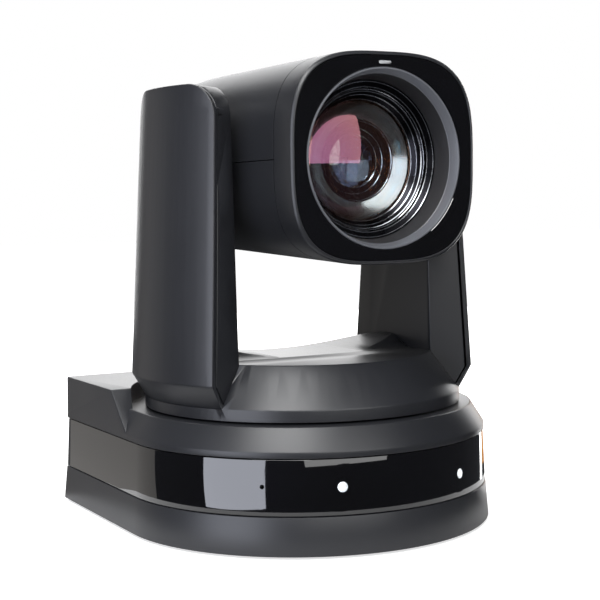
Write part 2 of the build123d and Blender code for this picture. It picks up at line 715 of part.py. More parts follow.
def lens_hood():
    """Flared hood that runs from the face plate in to the lens."""
    return turned([(30.6, 0.3), (28.85, 4.0), (27.3, 11.0), (28.9, 11.0), (30.2, 5.0), (30.6, 3.0)])


def lens_trim_ring():
    """Machined ring at the foot of the hood."""
    return turned([(27.1, 11.1), (26.6, 11.1), (24.8, 12.6), (24.8, 14.0), (27.1, 14.0)])


def retaining_ring():
    """Threaded ring that holds the front lens."""
    return turned([(24.6, 13.3), (24.2, 13.3), (22.5, 15.0), (21.05, 17.2), (21.05, 19.0), (24.6, 19.0)])


def lens_cell():
    """Front cell inside the barrel."""
    return turned([(25.95, 14.2), (24.7, 14.2), (24.7, 19.05), (21.0, 19.05), (21.0, 28.6), (25.95, 28.6)])


def lens_baffle():
    """Stepped black baffle behind the front lens, with the seat of the second one."""
    return turned([
        (20.9, 19.3), (20.2, 19.3), (13.4, 20.4), (13.0, 20.4), (13.0, 22.6), (8.7, 22.6), (8.3, 23.0),
        (8.3, 24.5), (10.1, 24.5), (10.1, 28.5), (20.9, 28.5),
    ])


def front_lens():
    """Domed front element."""
    return lens_element(20.95, 11.8, 17.3, 18.9, 16.4)


def second_lens():
    """Fixed element behind the baffle."""
    return lens_element(10.0, 24.6, 26.2, 27.2, 28.4)


def lens_barrel():
    """Tube that holds every lens group, its back plate open at the sensor."""
    front = FACE_Y + 14.2
    tube = ycyl(27.4, front, 34, 0, TILT_Z) - ycyl(26.0, front - 1, 32, 0, TILT_Z)
    return tube - box(-7, 7, 30, 36, TILT_Z - 5, TILT_Z + 5)


def guide_rods():
    """Two ground rods that the moving groups slide on."""
    return [ycyl(ROD_R, FACE_Y + 28.6, 32, x, TILT_Z) for x in (-ROD_X, ROD_X)]


def sliding_cell(radius, y0, y1):
    """Lens cell with an ear on each guide rod."""
    cell = ycyl(radius + 3, y0, y1, 0, TILT_Z) + box(-24, 24, y0, y1, TILT_Z - 3.5, TILT_Z + 3.5)
    cell -= ycyl(radius + 0.02, y0 - 1, y1 + 1, 0, TILT_Z)
    return drilled(cell, [ycyl(ROD_R + RUN_FIT, y0 - 1, y1 + 1, x, TILT_Z) for x in (-ROD_X, ROD_X)])


def sensor_board():
    """Board behind the barrel with image sensor and ribbon socket."""
    board = box(-22, 22, 34, 35.6, TILT_Z - 20, TILT_Z + 20)
    board += box(-6.5, 6.5, 32.6, 34, TILT_Z - 4.5, TILT_Z + 4.5)
    board += box(-12, 12, 35.6, 38.4, TILT_Z - 18, TILT_Z - 13)
    return board + box(-7, 7, 35.6, 37.2, TILT_Z - 6, TILT_Z + 8)


def head_chassis():
    """Cast cradle: clamp ring round the barrel, side cheeks for the hubs, foot for the screws."""
    cradle = ycyl(29.4, -7, 20, 0, TILT_Z) + box(-16, 16, -7, 20, TILT_Z - 31.5, TILT_Z - 20)
    cradle += box(-30.5, 30.5, -12, 20, TILT_Z - 13, TILT_Z + 13)
    cradle -= ycyl(27.45, -20, 40, 0, TILT_Z)
    return drilled(cradle, [cyl(1.6, TILT_Z - 33, TILT_Z - 28.5, x, HEAD_SCREW_Y) for x in HEAD_SCREW_X])


def tilt_hub(shaft_end):
    """Flanged hub and shaft on one side of the cradle."""
    hub = xcyl(11.0, 30.5, 33.0, TILT_Z) + xcyl(7.5, 33.0, 42.4, TILT_Z)
    hub += xcyl(SHAFT_R, 42.4, shaft_end, TILT_Z)
    return chamfer(hub.edges().filter_by(GeomType.CIRCLE).sort_by(Axis.X)[-1], 0.5)


def tilt_pulley():
    """Pulley on the end of the left tilt shaft."""
    wheel = Pos(TILT_BELT_X, 0, TILT_Z) * Rot(0, -90, 0) * pulley(TILT_PULLEY_R, TILT_PULLEY_W)
    return wheel - xcyl(SHAFT_R, -70, -50, TILT_Z)


def head_screws():
    """Screws that draw the bottom shell up to the cradle, heads sunk in the underside."""
    low = TILT_Z - HEAD_H + 0.2
    screw = cyl(2.4, low, low + 1.0) + cyl(1.5, low + 1.0, TILT_Z - 29.0)
    screw = screw - Pos(0, 0, low) * Box(0.7, 2.8, 1.0) - Pos(0, 0, low) * Box(2.8, 0.7, 1.0)
    return at_each([(x, HEAD_SCREW_Y) for x in HEAD_SCREW_X], screw)


def zoom_lens():
    """Zoom element in its sliding cell."""
    depth = ZOOM_Y - FACE_Y
    return lens_element(12.0, depth - 0.6, depth + 1.6, depth + 4.0, depth + 5.6)


def focus_lens():
    """Focus element in its sliding cell."""
    depth = FOCUS_Y - FACE_Y
    return lens_element(9.0, depth, depth + 1.4, depth + 2.8, depth + 3.9)


NODES = {
    "base_lower_shell": base_lower_shell(),
    "rubber_feet": rubber_feet(),
    "tripod_insert": tripod_insert(),
    "base_screws": base_screws(),
    "ir_window_band": ir_window_band(),
    "signal_windows": signal_windows(),
    "rear_panel": rear_panel(),
    "panel_screws": panel_screws(),
    "base_upper_shell": base_upper_shell(),
    "base_chassis": base_chassis(),
    "main_board": main_board(),
    "dc_inlet": dc_inlet(),
    "audio_socket": audio_socket(),
    "lan_socket": lan_socket(),
    "usb_socket": slot_socket("usb_socket", 0.6),
    "hdmi_socket": slot_socket("hdmi_socket", 0.7),
    "sdi_socket": sdi_socket(),
    "serial_socket": serial_socket(),
    "pan_spindle": pan_spindle(),
    "spindle_nut": spindle_nut(),
    "pan_motor": pan_motor(),
    "pan_belt": pan_belt(),
    "pan_motor_pulley": pan_motor_pulley(),
    "turntable_shell": turntable_shell(),
    "yoke_frame": yoke_frame(),
    "pan_bush": pan_bush(),
    "pan_pulley": pan_pulley(),
    "right_arm_shell": arm_shell(),
    "left_arm_shell": mirrored(arm_shell()),
    "right_arm_cover": arm_cover(),
    "left_arm_cover": mirrored(arm_cover()),
    "tilt_bushes": tilt_bushes(),
    "tilt_motor": tilt_motor(),
    "tilt_belt": tilt_belt(),
    "tilt_board": tilt_board(),
    "tilt_motor_pulley": tilt_motor_pulley(),
    "head_bezel": head_bezel(),
    "face_plate": face_plate(),
    "tally_window": tally_window(),
    "head_top_shell": head_shell(1),
    "head_bottom_shell": head_shell(-1),
    "head_chassis": head_chassis(),
    "head_screws": head_screws(),
    "right_tilt_hub": tilt_hub(48.5),
    "left_tilt_hub": mirrored(tilt_hub(TILT_PULLEY_W - TILT_BELT_X)),
    "tilt_pulley": tilt_pulley(),
    "lens_hood": lens_hood(),
    "lens_trim_ring": lens_trim_ring(),
    "retaining_ring": retaining_ring(),
    "lens_cell": lens_cell(),
    "lens_baffle": lens_baffle(),
    "front_lens": front_lens(),
    "second_lens": second_lens(),
    "lens_barrel": lens_barrel(),
    "guide_rods": guide_rods(),
    "sensor_board": sensor_board(),
    "zoom_cell": sliding_cell(12.0, ZOOM_Y, ZOOM_Y + 6),
    "zoom_lens": zoom_lens(),
    "focus_cell": sliding_cell(9.0, FOCUS_Y, FOCUS_Y + 4),
    "focus_lens": focus_lens(),
}

for name, shape in NODES.items():
    solids = shape if isinstance(shape, list) else [shape]
    group = Compound(children=[solid for piece in solids for solid in piece.solids()])
    export_step(group if len(group.solids()) > 1 else group.solids()[0], f"parts/{name}.step")
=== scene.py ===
import bmesh
import bpy
import json
from math import atan2, cos, radians, sin
from mathutils import Matrix, Vector

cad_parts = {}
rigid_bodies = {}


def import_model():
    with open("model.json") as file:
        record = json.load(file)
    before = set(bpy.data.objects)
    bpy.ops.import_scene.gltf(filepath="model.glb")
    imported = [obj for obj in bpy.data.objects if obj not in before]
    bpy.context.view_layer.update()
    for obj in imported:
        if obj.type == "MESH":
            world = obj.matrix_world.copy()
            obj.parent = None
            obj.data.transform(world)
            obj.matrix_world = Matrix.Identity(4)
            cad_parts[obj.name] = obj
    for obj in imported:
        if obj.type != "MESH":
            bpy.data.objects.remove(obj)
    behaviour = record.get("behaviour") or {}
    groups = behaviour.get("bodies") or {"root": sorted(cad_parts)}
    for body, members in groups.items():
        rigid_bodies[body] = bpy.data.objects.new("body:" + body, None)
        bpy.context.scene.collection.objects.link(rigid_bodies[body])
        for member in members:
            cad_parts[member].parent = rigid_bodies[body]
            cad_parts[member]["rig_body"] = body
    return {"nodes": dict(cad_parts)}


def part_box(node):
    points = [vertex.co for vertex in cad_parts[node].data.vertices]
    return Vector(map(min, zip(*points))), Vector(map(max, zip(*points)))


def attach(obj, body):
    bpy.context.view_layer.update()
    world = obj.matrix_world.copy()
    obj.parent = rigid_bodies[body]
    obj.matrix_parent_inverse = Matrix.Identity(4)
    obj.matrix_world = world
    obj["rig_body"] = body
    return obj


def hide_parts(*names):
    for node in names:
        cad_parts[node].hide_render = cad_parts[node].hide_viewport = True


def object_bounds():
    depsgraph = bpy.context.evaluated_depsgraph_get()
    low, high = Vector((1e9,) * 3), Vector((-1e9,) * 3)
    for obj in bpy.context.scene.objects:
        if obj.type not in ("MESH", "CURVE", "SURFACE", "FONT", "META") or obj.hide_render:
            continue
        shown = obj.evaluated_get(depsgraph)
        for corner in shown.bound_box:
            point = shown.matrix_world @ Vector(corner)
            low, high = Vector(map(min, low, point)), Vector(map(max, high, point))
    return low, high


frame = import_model()
cad_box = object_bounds()
MM = 0.001

# ---------------------------------------------------------------- Camera
# A long lens on a stand, level with the camera's own lens and turned to its right-hand side.
scene = bpy.context.scene
view_turn = radians(-28.9)
view_rise = radians(6.37)
view_roll = radians(0.9)
view_target = Vector((0, 0, 60)) * MM
view_distance = 520 * MM
back = Vector((sin(view_turn) * cos(view_rise), -cos(view_turn) * cos(view_rise), sin(view_rise)))
level = Vector((cos(view_turn), sin(view_turn), 0))
above = back.cross(level)
across = level * cos(view_roll) - above * sin(view_roll)
upright = level * sin(view_roll) + above * cos(view_roll)
camera = bpy.data.objects.new("camera", bpy.data.cameras.new("camera"))
scene.collection.objects.link(camera)
camera.matrix_world = Matrix.Translation(view_target + back * view_distance) @ Matrix(
    (across, upright, back)).transposed().to_4x4()
camera.data.lens = 81.3
camera.data.sensor_width = 36
camera.data.shift_x = -0.0026
camera.data.shift_y = 0.0955
scene.camera = camera

# ---------------------------------------------------------------- Studio
# A white sweep lit for a catalogue: soft boxes on the left, in front and overhead, white paper behind,
# which the level faces mirror, and on the right only two narrow strips, white and amber, as rim light.


def deselect():
    """Leave edit mode with nothing selected, so that the next operator sees only its own piece."""
    if bpy.context.object and bpy.context.object.mode == "EDIT":
        bpy.ops.object.mode_set(mode="OBJECT")
    bpy.ops.object.select_all(action="DESELECT")


def linear(hex_colour):
    """Linear colour from an sRGB hex value."""
    parts = [int(hex_colour[i:i + 2], 16) / 255 for i in (1, 3, 5)]
    return tuple(c / 12.92 if c <= 0.04045 else ((c + 0.055) / 1.055) ** 2.4 for c in parts) + (1.0,)


def node(tree, kind, settings=(), **links):
    """One shader node with its settings and input links; links are (node, socket) or plain values."""
    new = tree.nodes.new(kind)
    for key, value in dict(settings).items():
        setattr(new, key, value)
    for name, source in links.items():
        socket = new.inputs[int(name[1:])] if name[1:].isdigit() else new.inputs[name.replace("_", " ")]
        if isinstance(source, tuple) and hasattr(source[0], "outputs"):
            tree.links.new(source[0].outputs[source[1]], socket)
        else:
            socket.default_value = source
    return new


def soft_box(name, place, aim, width, height, power, colour="#ffffff"):
    """Rectangular studio light at a place in millimetres, aimed at a point."""
    light = bpy.data.lights.new(name, "AREA")
    light.shape = "RECTANGLE"
    light.size = width * MM
    light.size_y = height * MM
    light.energy = power
    light.color = linear(colour)[:3]
    holder = bpy.data.objects.new(name, light)
    scene.collection.objects.link(holder)
    start = Vector(place) * MM
    away = (Vector(aim) * MM - start).to_track_quat("-Z", "Y")
    holder.matrix_world = Matrix.Translation(start) @ away.to_matrix().to_4x4()
    holder.visible_camera = False
    return holder


world = bpy.data.worlds.new("white_room")
scene.world = world
world.use_nodes = True
world.node_tree.nodes.clear()
path = node(world.node_tree, "ShaderNodeLightPath")
dim = node(world.node_tree, "ShaderNodeBackground", Color=linear("#f2f5ff"), Strength=0.05)
bright = node(world.node_tree, "ShaderNodeBackground", Color=linear("#ffffff"), Strength=1.0)
mixed = node(world.node_tree, "ShaderNodeMixShader", _0=(path, "Is Camera Ray"), _1=(dim, 0), _2=(bright, 0))
node(world.node_tree, "ShaderNodeOutputWorld", Surface=(mixed, 0))

soft_box("key_box", (-700, -255, 90), (0, 0, 60), 520, 640, 4.8, "#eef2ff")
soft_box("upper_left_box", (-330, -330, 700), (0, 0, 60), 420, 420, 6.0)
soft_box("front_box", (-42, -715, 435), (0, 0, 115), 780, 700, 4.0)
soft_box("right_strip", (590, 300, 160), (0, 0, 60), 60, 620, 1.2)
soft_box("back_left_paper", (-500, 810, 60), (0, 0, 60), 640, 760, 0.62, "#fffaf4")
soft_box("back_paper", (330, 850, 330), (0, 0, 60), 760, 700, 5.0)
soft_box("amber_strip", (709, 554, 100), (0, 0, 60), 140, 500, 0.25, "#e8a050")
soft_box("top_box", (-60, 340, 780), (0, 0, 60), 500, 400, 3.5)

deselect()
bpy.ops.mesh.primitive_plane_add(size=8.0, location=(0, 0, cad_box[0][2]))
floor = bpy.context.object
floor.name = "floor"
paper = bpy.data.materials.new("white_paper_sweep")
paper.use_nodes = True
sheet = paper.node_tree.nodes["Principled BSDF"]
sheet.inputs["Base Color"].default_value = linear("#e4e4e4")
sheet.inputs["Roughness"].default_value = 0.9
sweep = paper.node_tree
spot = node(sweep, "ShaderNodeTexCoord")
apart = node(sweep, "ShaderNodeVectorMath", {"operation": "LENGTH"}, _0=(spot, "Object"))
# Painted light and shade: to the eye alone the paper glows, weaker under the base as painted shade, and a
# hand's breadth further on as clean white.
SHADE_R = 80
CLEAN_R = 400
painted_glow_ramp = node(sweep, "ShaderNodeMapRange", _0=(apart, 1), _1=SHADE_R * MM, _2=CLEAN_R * MM, _3=0.66, _4=1.0)
seen = node(sweep, "ShaderNodeLightPath")
only = node(sweep, "ShaderNodeMath", {"operation": "MULTIPLY"}, _0=(painted_glow_ramp, 0), _1=(seen, "Is Camera Ray"))
sweep.links.new(only.outputs[0], sheet.inputs["Emission Strength"])
sheet.inputs["Emission Color"].default_value = linear("#ffffff")
# Only the paper close to the base shows in mirror reflections, as if the sweep fell away beyond it.
MIRRORED_R = 112
far = node(sweep, "ShaderNodeMath", {"operation": "GREATER_THAN"}, _0=(apart, 1), _1=MIRRORED_R * MM)
gone = node(sweep, "ShaderNodeMath", {"operation": "MULTIPLY"}, _0=(far, 0), _1=(seen, "Is Glossy Ray"))
clear = node(sweep, "ShaderNodeBsdfTransparent")
whole = node(sweep, "ShaderNodeMixShader", _0=(gone, 0), _1=(sheet, 0), _2=(clear, 0))
sweep.links.new(whole.outputs[0], sweep.nodes["Material Output"].inputs["Surface"])
floor.data.materials.append(paper)


# ---------------------------------------------------------------- Base mouldings
# Tray and upper housing, injection moulded in charcoal ABS with a fine spark-eroded grain. The mould
# leaves a small radius on every outside edge, and four long screws from below hold the two together.
MOULD_RADIUS = 0.4
BACK_EXTRA = 5.0
BACK_CORNER = 1.5
PATCH_SIZE = 35


def finish(name, dark, light, grain, rough, relief=0.0, metallic=0.0, ior=1.5, coat=0.0, stretch=(1, 1, 1)):
    """Procedural finish: two tones and a roughness range over a grain, grain and relief in mm."""
    made = bpy.data.materials.new(name)
    made.use_nodes = True
    tree = made.node_tree
    surface = tree.nodes["Principled BSDF"]
    surface.inputs["Metallic"].default_value = metallic
    surface.inputs["IOR"].default_value = ior
    surface.inputs["Coat Weight"].default_value = coat
    place = node(tree, "ShaderNodeTexCoord")
    laid = node(tree, "ShaderNodeMapping", _0=(place, "Object"), Scale=stretch)
    grit = node(tree, "ShaderNodeTexNoise", Vector=(laid, 0), Scale=1 / (grain * MM), Detail=3.0,
                Roughness=0.6)
    patch = node(tree, "ShaderNodeTexNoise", Vector=(place, "Object"), Scale=1 / (PATCH_SIZE * MM),
                 Detail=2.0)
    both = node(tree, "ShaderNodeMath", {"operation": "MULTIPLY_ADD"}, _0=(patch, 0), _1=0.45, _2=(grit, 0))
    spread = node(tree, "ShaderNodeMapRange", _0=(both, 0), _1=0.45, _2=1.0, _3=0.0, _4=1.0)
    tone = node(tree, "ShaderNodeMix", {"data_type": "RGBA"}, _0=(spread, 0), _6=linear(dark),
                _7=linear(light))
    tree.links.new(tone.outputs[2], surface.inputs["Base Color"])
    shine = node(tree, "ShaderNodeMapRange", _0=(both, 0), _1=0.45, _2=1.0, _3=rough[0], _4=rough[1])
    tree.links.new(shine.outputs[0], surface.inputs["Roughness"])
    if relief:
        bump = node(tree, "ShaderNodeBump", Height=(grit, 0), Distance=relief * MM, Strength=1.0)
        tree.links.new(bump.outputs[0], surface.inputs["Normal"])
    return made


# Charcoal ABS off a spark-eroded mould: dark grey and satin, its fine even grain spreads highlights.
charcoal_abs = finish("charcoal_abs_spark_grain", "#1a1b1e", "#202125", 0.35, (0.34, 0.43), 0.012, ior=1.53)


def circle(radius):
    """Round outline: the same reach at every angle."""
    return lambda turn: radius


def half_disc(radius):
    """Outline of the base from above at an angle: round in front, straight sides, square back."""
    def reach(turn):
        wide, deep = abs(cos(turn)), sin(turn)
        if deep <= 0:
            return radius
        flat = min(radius / max(wide, 1e-6), (radius + BACK_EXTRA) / max(deep, 1e-6))
        side = radius - BACK_CORNER
        rise = radius + BACK_EXTRA - BACK_CORNER
        along = side * wide + rise * deep
        off = side ** 2 + rise ** 2 - along ** 2
        inside = wide * flat > side and deep * flat > rise
        return along + (BACK_CORNER ** 2 - off) ** 0.5 if inside and off < BACK_CORNER ** 2 else flat
    return reach


def ring_angles(points):
    """Angles of a ring's points, evenly spaced."""
    return [radians(360) * i / points for i in range(points)]


def drawn(name, rings, closed=True, turns=ring_angles(160), upright=False):
    """Piece drawn as a circle extruded ring by ring: each ring is (place in mm, outline by angle), its
    place along Y about the lens axis, or along Z about the pan axis if upright."""
    deselect()
    bpy.ops.mesh.primitive_circle_add(vertices=len(turns), radius=1.0, enter_editmode=True)
    piece = bpy.context.object
    piece.name = name
    for step, (place, outline) in enumerate(rings):
        if step:
            bpy.ops.mesh.extrude_region_move()
        working = bmesh.from_edit_mesh(piece.data)
        label = working.verts.layers.int.get("turn") or working.verts.layers.int.new("turn")
        working.verts.ensure_lookup_table()
        for vertex in [v for v in working.verts if v.select]:
            if not step:
                vertex[label] = vertex.index
            turn = turns[vertex[label]]
            reach = outline(turn)
            flat = (reach * cos(turn), reach * sin(turn))
            corner = (flat[0], flat[1], place) if upright else (flat[0], place, TILT_Z + flat[1])
            vertex.co = Vector(corner) * MM
        bmesh.update_edit_mesh(piece.data)
    if closed:
        bpy.ops.mesh.select_all(action="DESELECT")
        bpy.ops.mesh.select_mode(type="EDGE")
        bpy.ops.mesh.select_non_manifold()
        bpy.ops.mesh.bridge_edge_loops()
    else:
        bpy.ops.mesh.edge_face_add()
        bpy.ops.mesh.select_all(action="DESELECT")
        bpy.ops.mesh.select_mode(type="EDGE")
        bpy.ops.mesh.select_non_manifold()
        bpy.ops.mesh.edge_face_add()
    bpy.ops.mesh.select_mode(type="VERT")
    bpy.ops.mesh.select_all(action="SELECT")
    bpy.ops.mesh.normals_make_consistent(inside=False)
    bpy.ops.object.mode_set(mode="OBJECT")
    return piece


def cut_by(piece, tool, kind="DIFFERENCE"):
    """Applies a boolean with a tool piece and removes the tool."""
    deselect()
    bpy.context.view_layer.objects.active = piece
    piece.select_set(True)
    cut = piece.modifiers.new("cut", "BOOLEAN")
    cut.operation = kind
    cut.object = tool
    cut.solver = "EXACT"
    bpy.ops.object.modifier_apply(modifier=cut.name)
    bpy.data.objects.remove(tool)


slot_of = {name: part.material_slots[0].material.name for name, part in frame["nodes"].items()}


def cad_copy(name, piece_name, flat=0.3):
    """Copy of a CAD node's mesh, left selected. Triangles flat to within an angle merge to clean faces."""
    deselect()
    piece = bpy.data.objects.new(piece_name, frame["nodes"][name].data.copy())
    scene.collection.objects.link(piece)
    bpy.context.view_layer.objects.active = piece
    piece.select_set(True)
    bpy.ops.object.mode_set(mode="EDIT")
    bpy.ops.mesh.select_all(action="SELECT")
    bpy.ops.mesh.remove_doubles(threshold=0.002 * MM)
    bpy.ops.mesh.dissolve_limited(angle_limit=radians(flat))
    bpy.ops.object.mode_set(mode="OBJECT")
    return piece


def placed(piece, node_name, finish_used, angle=35):
    """Finished piece: smoothed, dressed, riding with its CAD node's body and standing for the node."""
    deselect()
    bpy.context.view_layer.objects.active = piece
    piece.select_set(True)
    bpy.ops.object.shade_smooth_by_angle(angle=radians(angle))
    piece.data.materials.clear()
    piece.data.materials.append(finish_used)
    source = frame["nodes"][node_name]
    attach(piece, source["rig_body"])
    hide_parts(node_name)
    deselect()
    return piece


def edge_rounded(piece, radius, outside, sharp=28):
    """Rounds the sharp edges for which outside(middle of the edge in mm) is true."""
    mesh = piece.data
    weights = mesh.attributes.new("bevel_weight_edge", "FLOAT", "EDGE")
    for edge in mesh.edges:
        ends = [mesh.vertices[i].co / MM for i in edge.vertices]
        weights.data[edge.index].value = 1.0 if all(outside(end) for end in ends) else 0.0
    working = bmesh.new()
    working.from_mesh(mesh)
    layer = working.edges.layers.float["bevel_weight_edge"]
    for edge in working.edges:
        if len(edge.link_faces) != 2 or edge.calc_face_angle(0) < radians(sharp):
            edge[layer] = 0.0
    working.to_mesh(mesh)
    working.free()
    bevel = piece.modifiers.new("mould_radius", "BEVEL")
    bevel.width = radius * MM
    bevel.segments = 3
    bevel.limit_method = "WEIGHT"
    bevel.use_clamp_overlap = False
    bevel.miter_outer = "MITER_ARC"
    bpy.ops.object.modifier_apply(modifier=bevel.name)


def from_axis(point):
    """Distance of a point in mm from the pan axis."""
    return (point[0] ** 2 + point[1] ** 2) ** 0.5


def block_tool(low, high):
    """Plain block between two corners in mm, to cut or join with."""
    deselect()
    bpy.ops.mesh.primitive_cube_add(size=1, location=[(a + b) / 2 * MM for a, b in zip(low, high)],
                                    scale=[(b - a) * MM for a, b in zip(low, high)])
    bpy.ops.object.transform_apply(location=True, rotation=True, scale=True)
    return bpy.context.object


def post_tool(radius, low, high, x=0, y=0, points=48):
    """Upright cylinder in mm, to cut or join with."""
    deselect()
    bpy.ops.mesh.primitive_cylinder_add(vertices=points, radius=radius * MM, depth=(high - low) * MM,
                                        location=(x * MM, y * MM, (low + high) / 2 * MM))
    bpy.ops.object.transform_apply(location=True, rotation=True, scale=True)
    return bpy.context.object


side_turns = [radians(t) for t in (0, 4, 8, 13, 18, 24, 30, 36, 41, 44, 45)]
side_turns += [radians(46 + i / 5) for i in range(11)]
side_turns += [radians(t) for t in (49, 51, 54, 60, 67, 75, 82)]
D_TURNS = side_turns + [radians(90)] + [radians(180) - t for t in reversed(side_turns)]
D_TURNS += [radians(180) + radians(180) * i / 160 for i in range(1, 160)]
WALL = 2.2
CHASSIS_SCREWS = [(-48, -32), (48, -32), (-56, 12), (56, 12)]
REAR_SCREWS = [(-60, 60), (60, 60)]
BOARD_POSTS = [(-44, 30), (44, 30)]
BRACKET_HOLES = [(x, y) for x in (-28, 28) for y in (-28, 28)]
FEET = [(-38, -46), (38, -46), (-52, 48), (52, 48)]
FOOT_R = 71.0
FOOT_RECESS_R = 6.0
FOOT_RECESS = 0.8
SCREW_HOLE_R = 1.6
SCREW_HEAD_R = 3.2
SCREW_HEAD_TOP = 4
TRAY_BOSS_R = 4.5
BOARD_POST_R = 3.5
BRACKET_BOSS_R = 4.0
BRACKET_BOSS_TOP = 8
BRACKET_HOLE_R = 1.65
BRACKET_HOLE_TOP = 7
INSERT_BOSS_R = 11
INSERT_BOSS_TOP = 11
INSERT_HOLE_R = 6.5
INSERT_HOLE_TOP = 9.5
TRAY_TOP_R = 69.9
TRAY_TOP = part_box("base_lower_shell")[1][2] / MM

tray = drawn("base_tray", [
    (0, half_disc(FOOT_R - 0.4)), (0.05, half_disc(FOOT_R - 0.2)), (0.2, half_disc(FOOT_R - 0.06)),
    (0.45, half_disc(FOOT_R - 0.02)), (TRAY_TOP - 0.3, half_disc(TRAY_TOP_R + 0.02)),
    (TRAY_TOP - 0.1, half_disc(TRAY_TOP_R - 0.06)), (TRAY_TOP, half_disc(TRAY_TOP_R - 0.25)),
], closed=False, turns=D_TURNS, upright=True)
cut_by(tray, drawn("tray_room", [
    (WALL, half_disc(FOOT_R - WALL)), (TRAY_TOP + 1, half_disc(TRAY_TOP_R - WALL)),
], closed=False, turns=D_TURNS, upright=True))
for x, y in CHASSIS_SCREWS + REAR_SCREWS:
    cut_by(tray, post_tool(TRAY_BOSS_R, WALL / 2, TRAY_TOP - 0.05, x, y), "UNION")
    cut_by(tray, post_tool(SCREW_HOLE_R, -1, TRAY_TOP + 1, x, y))
    cut_by(tray, post_tool(SCREW_HEAD_R, -1, SCREW_HEAD_TOP, x, y))
for x, y in BOARD_POSTS:
    cut_by(tray, post_tool(BOARD_POST_R, WALL / 2, TRAY_TOP - 0.05, x, y), "UNION")
for x, y in BRACKET_HOLES:
    cut_by(tray, post_tool(BRACKET_BOSS_R, WALL / 2, BRACKET_BOSS_TOP, x, y), "UNION")
    cut_by(tray, post_tool(BRACKET_HOLE_R, -1, BRACKET_HOLE_TOP, x, y))
for x, y in FEET:
    cut_by(tray, post_tool(FOOT_RECESS_R, -1, FOOT_RECESS, x, y))
cut_by(tray, post_tool(INSERT_BOSS_R, WALL / 2, INSERT_BOSS_TOP), "UNION")
cut_by(tray, post_tool(INSERT_HOLE_R, -1, INSERT_HOLE_TOP))
placed(tray, "base_lower_shell", charcoal_abs, 30)

SKIRT_R = 69.2
SKIRT_LOW = 33.2
SHOULDER_LOW = 35.5
SHOULDER_TOP = 43.4
SHOULDER_R = 64.2
BLOCK_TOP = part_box("base_upper_shell")[1][2] / MM
RAMP_TOP_Y = 24.0
RAMP_FOOT_Y = 4.3
RAMP_FOOT_Z = 36.7
POCKET_R = 65.3
NECK_R = 52.0
HOUSING_POST_R = 4.0
CHASSIS_POST_LOW = 15.6
REAR_POST_LOW = 13.6
STOP_HALF_W = 3
STOP_INNER_Y = -38
housing = drawn("base_housing", [
    (SKIRT_LOW + 0.15, half_disc(SKIRT_R - 0.25)), (SKIRT_LOW + 0.25, half_disc(SKIRT_R - 0.06)),
    (SKIRT_LOW + 0.45, half_disc(SKIRT_R)), (SHOULDER_LOW - 0.25, half_disc(SKIRT_R)),
    (SHOULDER_LOW, half_disc(SKIRT_R - 0.06)), (SHOULDER_LOW + 0.25, half_disc(SKIRT_R - 0.2)),
    (SHOULDER_TOP - 0.4, half_disc(SHOULDER_R + 0.22)), (SHOULDER_TOP - 0.15, half_disc(SHOULDER_R + 0.03)),
    (SHOULDER_TOP - 0.03, half_disc(SHOULDER_R - 0.2)), (SHOULDER_TOP, half_disc(SHOULDER_R - 0.5)),
], closed=False, turns=D_TURNS, upright=True)


def leaning_block(name, radius, low, top, back_by=0.0):
    """Solid of the raised rear block: a D-shaped block whose front is cut by the leaning ramp."""
    block = drawn(name, [(low, half_disc(radius)), (top, half_disc(radius - 0.3))], closed=False,
                  turns=D_TURNS, upright=True)
    bpy.ops.object.mode_set(mode="EDIT")
    bpy.ops.mesh.select_all(action="SELECT")
    rise, run = BLOCK_TOP - RAMP_FOOT_Z, RAMP_TOP_Y - RAMP_FOOT_Y
    bpy.ops.mesh.bisect(plane_co=(0, (RAMP_TOP_Y + back_by) * MM, BLOCK_TOP * MM),
                        plane_no=(0, rise, -run), use_fill=True, clear_inner=True)
    bpy.ops.mesh.select_all(action="SELECT")
    bpy.ops.mesh.dissolve_limited(angle_limit=radians(0.1))
    bpy.ops.object.mode_set(mode="OBJECT")
    return block


block = leaning_block("rear_block", SKIRT_R - 0.02, SHOULDER_LOW - 0.6, BLOCK_TOP)
soften = block.modifiers.new("mould_radius", "BEVEL")
soften.width = 0.45 * MM
soften.segments = 3
soften.limit_method = "ANGLE"
soften.angle_limit = radians(30)
bpy.ops.object.modifier_apply(modifier=soften.name)
cut_by(housing, block, "UNION")
cut_by(housing, post_tool(POCKET_R, SHOULDER_TOP, 90, points=192))
room = drawn("housing_room", [
    (SKIRT_LOW - 1, half_disc(SKIRT_R - WALL)), (SHOULDER_LOW, half_disc(SKIRT_R - WALL)),
    (SHOULDER_TOP - WALL, half_disc(SHOULDER_R - WALL))], closed=False, turns=D_TURNS, upright=True)
cut_by(housing, room)
rear_room = leaning_block("rear_room", SKIRT_R - WALL, SHOULDER_LOW - 1, BLOCK_TOP - WALL, 6.0)
cut_by(rear_room, post_tool(POCKET_R + WALL, 0, 90, points=192))
cut_by(housing, rear_room)
cut_by(housing, post_tool(NECK_R, 0, 90, points=160))
for x, y in CHASSIS_SCREWS:
    cut_by(housing, post_tool(HOUSING_POST_R, CHASSIS_POST_LOW, SHOULDER_TOP - 1, x, y), "UNION")
for x, y in REAR_SCREWS:
    cut_by(housing, post_tool(HOUSING_POST_R, REAR_POST_LOW, BLOCK_TOP - 1, x, y), "UNION")
for x, y in CHASSIS_SCREWS + REAR_SCREWS:
    cut_by(housing, post_tool(SCREW_HOLE_R, 10, 30, x, y))
cut_by(housing, block_tool((-STOP_HALF_W, -NECK_R - 2, SHOULDER_TOP - WALL),
                           (STOP_HALF_W, STOP_INNER_Y, SHOULDER_TOP - 0.01)), "UNION")
VENT_COLUMNS = 15
VENT_ROWS = 3
VENT_STEP_X = 6.2
VENT_STEP_Z = 3.2
vents = block_tool((-45.6, 60, 38.3), (-41.2, 90, 39.7))
